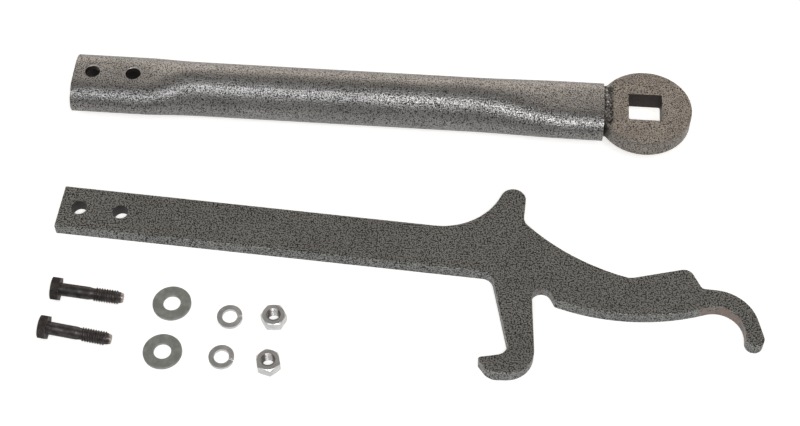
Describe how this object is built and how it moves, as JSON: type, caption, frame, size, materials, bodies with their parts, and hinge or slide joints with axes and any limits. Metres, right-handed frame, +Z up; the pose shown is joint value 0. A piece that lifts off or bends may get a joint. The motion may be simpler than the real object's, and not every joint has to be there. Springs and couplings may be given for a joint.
{
  "type": "coil spring compressor",
  "caption": "Knocked-down coil spring compressor: flat hook lever with finger and claw, tube handle with a square drive ring, and loose bolts, washers and nuts.",
  "frame": {"origin": "on the bench plane under the middle of the laid-out kit's box", "axes": "+X along the handle tube towards its drive ring, +Z up from the bench"},
  "size_m": [0.3983, 0.2074, 0.0317],
  "materials": {
    "lever_coat": "dark hammertone powder coat",
    "handle_coat": "warm grey hammertone powder coat",
    "weld_coat": "rough coated weld",
    "black_oxide": "black oxide steel",
    "grey_zinc": "dull grey zinc",
    "bright_zinc": "bright zinc"
  },
  "bodies": {
    "lever": {"hook_lever": "lever_coat"},
    "handle": {"handle_tube": "handle_coat", "drive_ring": "handle_coat", "weld_bead_top": "weld_coat", "weld_bead_bottom": "weld_coat"},
    "bolt_1_body": {"bolt_1": "black_oxide"},
    "bolt_2_body": {"bolt_2": "black_oxide"},
    "flat_washer_1_body": {"flat_washer_1": "grey_zinc"},
    "flat_washer_2_body": {"flat_washer_2": "grey_zinc"},
    "lock_washer_1_body": {"lock_washer_1": "bright_zinc"},
    "lock_washer_2_body": {"lock_washer_2": "bright_zinc"},
    "nut_1_body": {"nut_1": "bright_zinc"},
    "nut_2_body": {"nut_2": "bright_zinc"}
  },
  "joints": [
    {"name": "handle_lift", "type": "slide", "parent": "lever", "child": "handle", "axis": [0, 0, 1], "range_m": [0, 0.05]},
    {"name": "bolt_1_lift", "type": "slide", "parent": "lever", "child": "bolt_1_body", "axis": [0, 0, 1], "range_m": [0, 0.05]},
    {"name": "bolt_2_lift", "type": "slide", "parent": "lever", "child": "bolt_2_body", "axis": [0, 0, 1], "range_m": [0, 0.05]},
    {"name": "flat_washer_1_lift", "type": "slide", "parent": "lever", "child": "flat_washer_1_body", "axis": [0, 0, 1], "range_m": [0, 0.05]},
    {"name": "flat_washer_2_lift", "type": "slide", "parent": "lever", "child": "flat_washer_2_body", "axis": [0, 0, 1], "range_m": [0, 0.05]},
    {"name": "lock_washer_1_lift", "type": "slide", "parent": "lever", "child": "lock_washer_1_body", "axis": [0, 0, 1], "range_m": [0, 0.05]},
    {"name": "lock_washer_2_lift", "type": "slide", "parent": "lever", "child": "lock_washer_2_body", "axis": [0, 0, 1], "range_m": [0, 0.05]},
    {"name": "nut_1_lift", "type": "slide", "parent": "lever", "child": "nut_1_body", "axis": [0, 0, 1], "range_m": [0, 0.05]},
    {"name": "nut_2_lift", "type": "slide", "parent": "lever", "child": "nut_2_body", "axis": [0, 0, 1], "range_m": [0, 0.05]}
  ]
}
